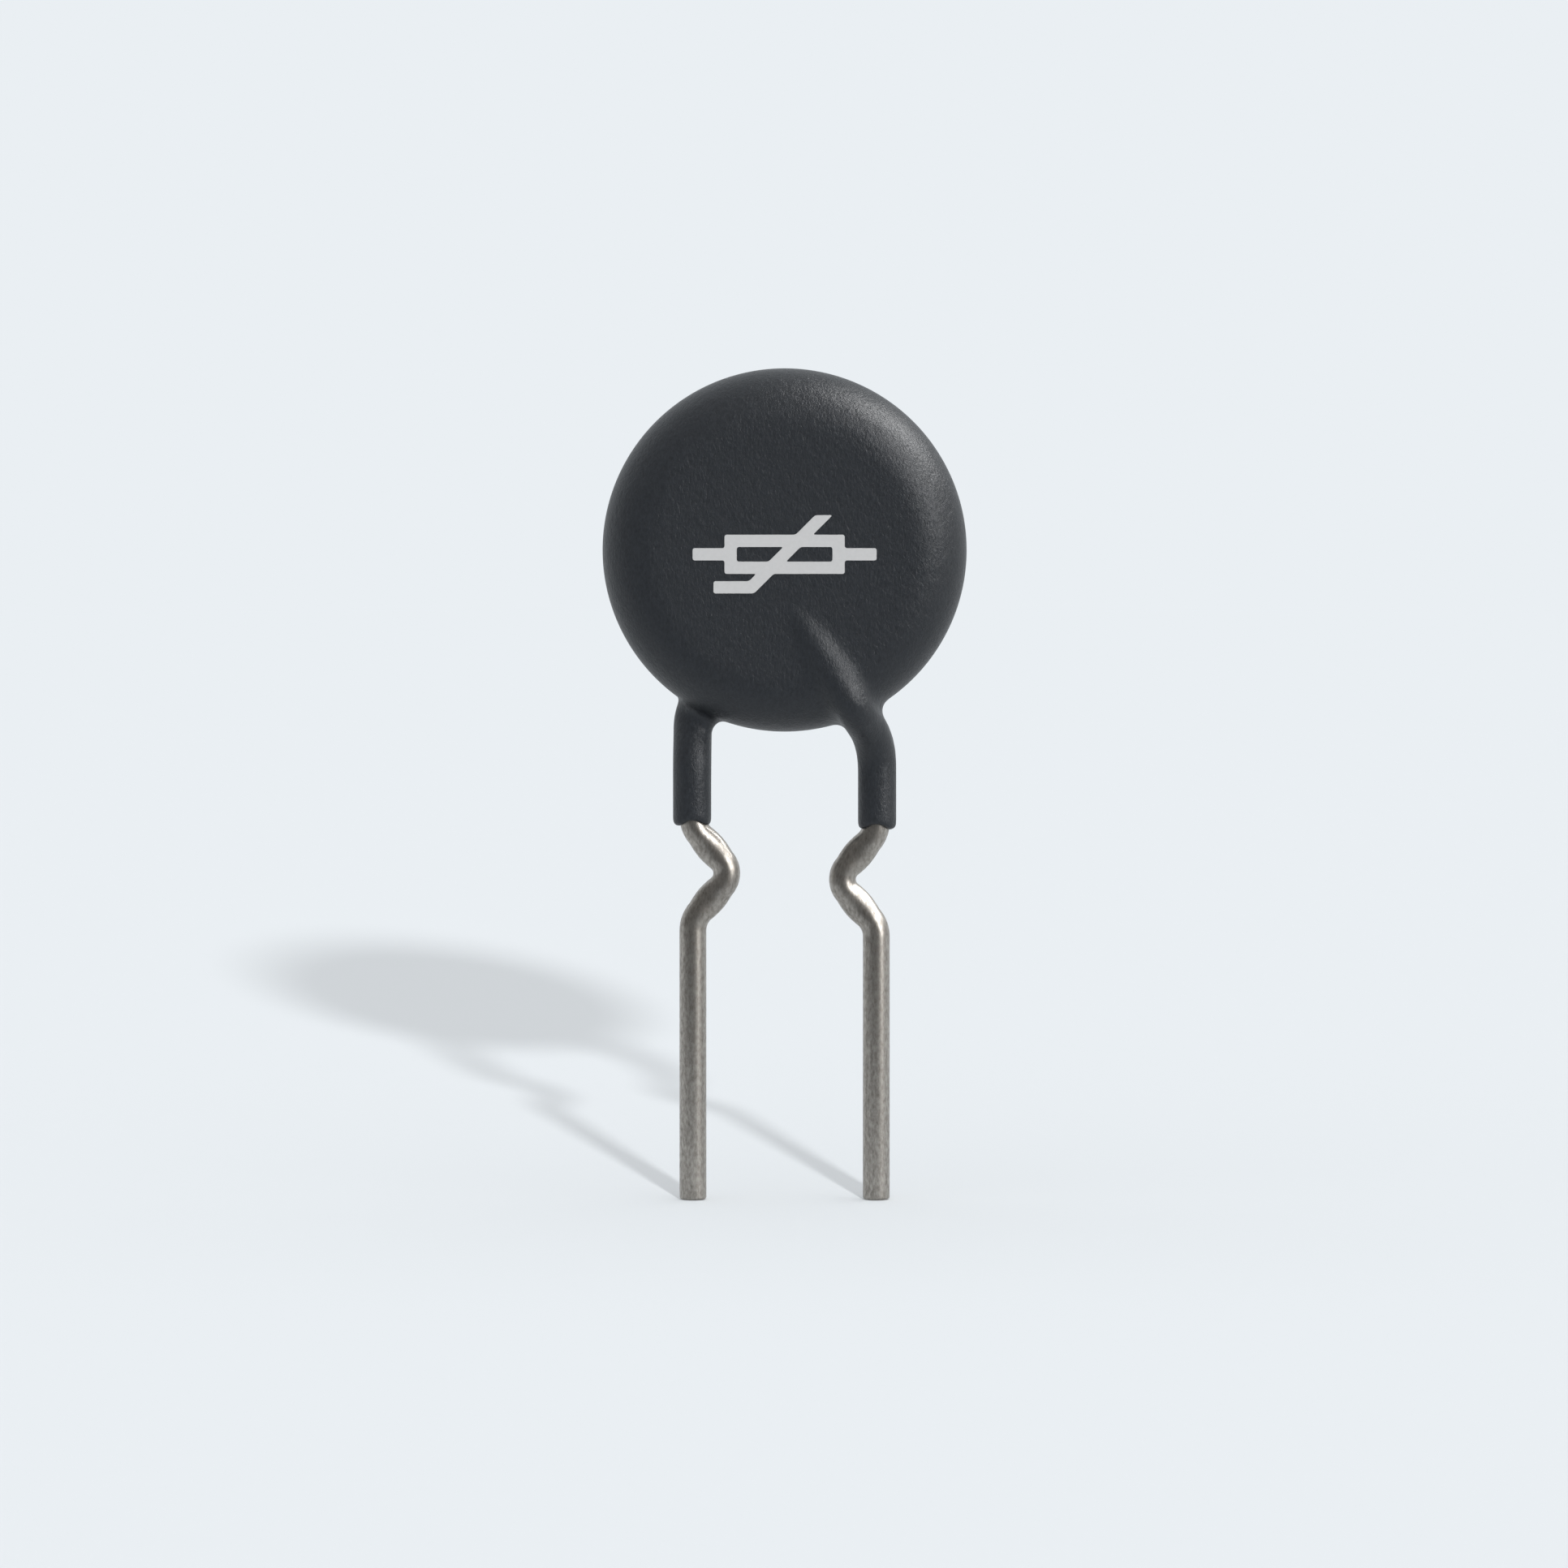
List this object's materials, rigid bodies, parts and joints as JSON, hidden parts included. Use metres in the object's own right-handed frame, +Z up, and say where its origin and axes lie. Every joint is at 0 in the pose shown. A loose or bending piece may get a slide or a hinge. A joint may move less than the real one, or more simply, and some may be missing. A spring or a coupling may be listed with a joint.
{
  "type": "ntc thermistor",
  "caption": "Disc thermistor: a flat round ceramic disc coated in black resin, with kinked tinned wire leads for through-hole mounting on a circuit board.",
  "frame": {"origin": "midway between the two lead tips, in the plane of their cut ends", "axes": "+Z up from the lead tips to the disc, +Y from the printed front face to the back face, +X towards the front lead"},
  "size_m": [0.0148, 0.0052, 0.0341],
  "materials": {
    "coating": "satin cured resin with a fine leathery grain",
    "ceramic_disc": "matt sintered oxide",
    "electrodes": "fired silver, dull",
    "solder": "satin tin solder",
    "leads": "tinned wire, lightly grained",
    "ink": "matt light grey ink"
  },
  "bodies": {
    "root": {"coating": "coating", "ceramic_disc": "ceramic_disc", "front_electrode": "electrodes", "back_electrode": "electrodes", "front_solder": "solder", "back_solder": "solder", "front_lead": "leads", "back_lead": "leads", "printed_mark": "ink"}
  },
  "joints": []
}
